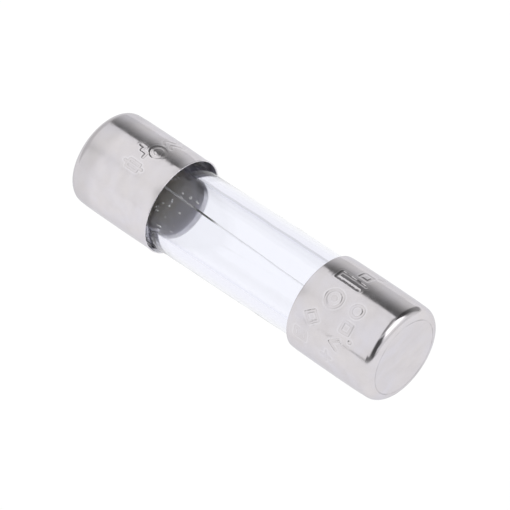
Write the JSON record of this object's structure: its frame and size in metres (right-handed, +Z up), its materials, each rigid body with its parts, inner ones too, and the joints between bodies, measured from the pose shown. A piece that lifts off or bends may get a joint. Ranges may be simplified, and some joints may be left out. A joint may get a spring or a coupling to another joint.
{
  "type": "glass cartridge fuse",
  "caption": "Glass tube cartridge fuse with two round metal end caps and a thin fuse wire running from end to end inside the tube.",
  "frame": {"origin": "centre of the fuse, on its axis and halfway between the two closed ends", "axes": "+X along the fuse's axis towards the right cap, +Z up as it lies on its side"},
  "size_m": [0.02, 0.0052, 0.0052],
  "materials": {
    "clear_glass": "clear, polished, faint blue tint",
    "cap_nickel": "nickel plate on drawn brass, bright with a slight satin haze",
    "tinned_wire": "bright tinned wire",
    "solder": "dull grey solder, slightly lumpy"
  },
  "bodies": {
    "root": {"glass_tube": "clear_glass", "left_end_cap": "cap_nickel", "right_end_cap": "cap_nickel", "fuse_wire": "tinned_wire", "left_solder": "solder", "right_solder": "solder"}
  },
  "joints": []
}
